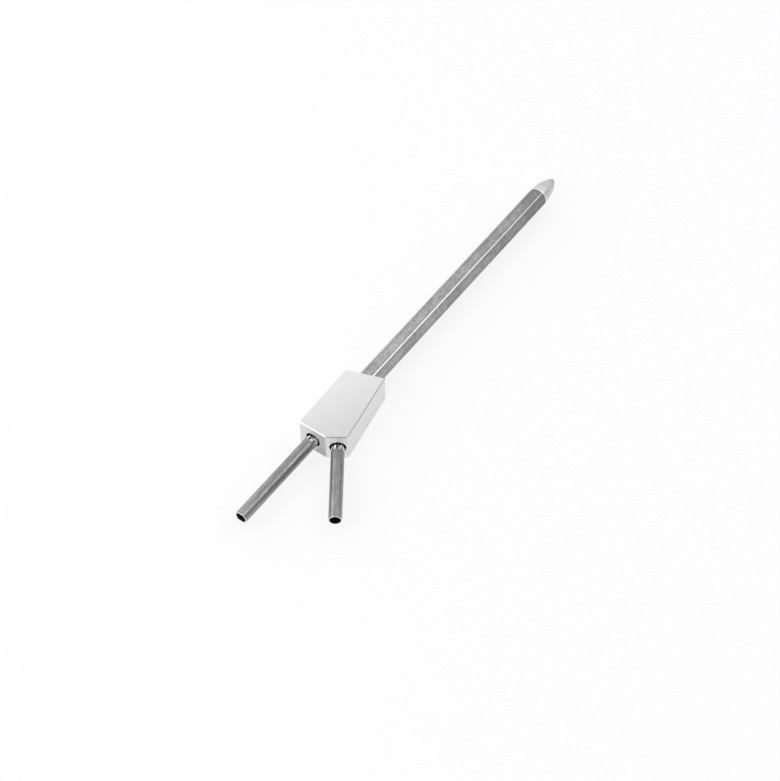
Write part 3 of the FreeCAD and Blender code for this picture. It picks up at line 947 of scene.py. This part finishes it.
@dataclass(frozen=True)
class Nose(TurnedPiece):
    """The turned nose: a straight part, an ogive, a flat rim at the apex port and a ring of static ports.

    Lengths run from its shoulder, which stands on the boom's end.
    """

    name: str = "turned_nose"
    node: Node = Node.NOSE
    finish: Metal = TurnedSteel()
    slot: Slot = Slot.NOSE
    shoulder: float = 231.0  # from the block, along the boom's axis
    spigot: float = 12.0
    spigot_radius: float = 4.45
    radius: float = 7.4
    land: float = 2.5
    length: float = 21.3
    rim_radius: float = 1.6
    rim_round: float = 0.5
    port_radius: float = 1.0
    line_radius: float = 2.55
    line_stop: float = 9.8
    gallery_radius: float = 3.45
    gallery_end: float = 5.8
    static_radius: float = 0.5
    static_count: int = 4
    static_setback: float = 4.5
    static_turn: float = 45.0
    static_overrun: float = 1.0  # how far a port's cutter reaches past the gallery's wall
    arc_steps: int = 28
    round_steps: int = 6

    def section(self) -> list[tuple[float, float]]:
        """Work out the half section: the spigot, the shoulder, the ogive, the rim and the bores.

        Returns:
            Its corners, in millimetres along and away from the axis.
        """
        drop, run = self.radius - self.rim_radius, self.length - self.land
        bend = (run**2 + drop**2) / (2 * drop)  # radius of the ogive, whose arc starts level
        hub = self.radius - bend
        round_x = self.length - self.rim_round
        reach = round_x - self.land
        round_y = hub + math.sqrt((bend - self.rim_round) ** 2 - reach**2)
        end = math.asin(reach / (bend - self.rim_round))
        ogive = [(self.land + bend * math.sin(turn), hub + bend * math.cos(turn))
                 for turn in (end * step / self.arc_steps for step in range(self.arc_steps + 1))]
        left = math.pi / 2 - end
        turns = [end + left * step / self.round_steps for step in range(1, self.round_steps + 1)]
        rim = [(round_x + self.rim_round * math.sin(turn), round_y + self.rim_round * math.cos(turn))
               for turn in turns]
        corners = [
            (-self.spigot, self.spigot_radius), (0.0, self.spigot_radius), (0.0, self.radius), *ogive, *rim,
            (self.length, self.port_radius), (self.line_stop, self.port_radius),
            (self.line_stop, self.line_radius), (self.gallery_end, self.line_radius),
            (self.gallery_end, self.gallery_radius), (-self.spigot, self.gallery_radius)]
        return [(self.shoulder + x, radius) for x, radius in corners]

    def holes(self) -> dict[str, float]:
        """Work out the sizes of the ring of static ports.

        Returns:
            The sizes, by the names of the tree's inputs.
        """
        return {
            "Hole Count": self.static_count,
            "Hole Radius": self.static_radius * MM,
            "Hole Place": (self.shoulder + self.static_setback) * MM,
            "Hole Turn": math.radians(self.static_turn),
            "Hole Start": self.radius * MM,
            "Hole Depth": 2 * (self.radius - self.gallery_radius + self.static_overrun) * MM,
        }


@dataclass(frozen=True)
class OutletTube(TurnedPiece):
    """An outlet tube: thin-walled, its edges broken, its seated end turned down to a shoulder.

    Lengths run from the block's face: reach outwards, recess and seat inwards.
    """

    reach: float = 85.0
    radius: float = 5.0
    bore_radius: float = 4.2
    recess: float = 4.0
    seat: float = 10.0
    seat_step: float = 0.3
    edge_break: float = 0.2

    def section(self) -> list[tuple[float, float]]:
        """Work out the half section: the wall, its broken edges and the seated end.

        Returns:
            Its corners, in millimetres along and away from the axis.
        """
        out, stop, end, cut = -self.reach, self.recess, self.recess + self.seat, self.edge_break
        seated = self.radius - self.seat_step
        return [
            (out, self.bore_radius + cut), (out, self.radius - cut), (out + cut, self.radius),
            (stop, self.radius), (stop, seated), (end - cut, seated), (end, seated - cut),
            (end, self.bore_radius + cut), (end - cut, self.bore_radius), (out + cut, self.bore_radius)]


@dataclass(frozen=True)
class StraightOutlet(OutletTube):
    """The outlet tube in line with the boom, which gives the total pressure."""

    name: str = "straight_outlet_tube"
    node: Node = Node.INLINE_OUTLET
    finish: Metal = DrawnTube("pickled_stainless_straight")
    place: tuple[float, float, float] = FRONT_ENTRY


@dataclass(frozen=True)
class AngledOutlet(OutletTube):
    """The outlet tube that leans off to the side, which gives the static pressure."""

    name: str = "angled_outlet_tube"
    node: Node = Node.SIDE_OUTLET
    finish: Metal = DrawnTube(
        "pickled_stainless_angled", entry=SIDE_ENTRY, turn=SIDE_ANGLE, reach_mm=SIDE_REACH)
    place: tuple[float, float, float] = SIDE_ENTRY
    turn: float = SIDE_ANGLE
    reach: float = SIDE_REACH


def main() -> None:
    """Build the pieces in order, then the studio and the camera."""
    logging.basicConfig(level=logging.INFO)
    bpy.context.scene.view_settings.view_transform = "Standard"
    for packed in (Block(), Boom(), PressureLine()):
        packed.build()
    turning = TurningTree()
    for turned in (Nose(), StraightOutlet(), AngledOutlet()):
        turned.build(turning)
    Studio().build()
    Camera().build()


if __name__ == "__main__":
    main()
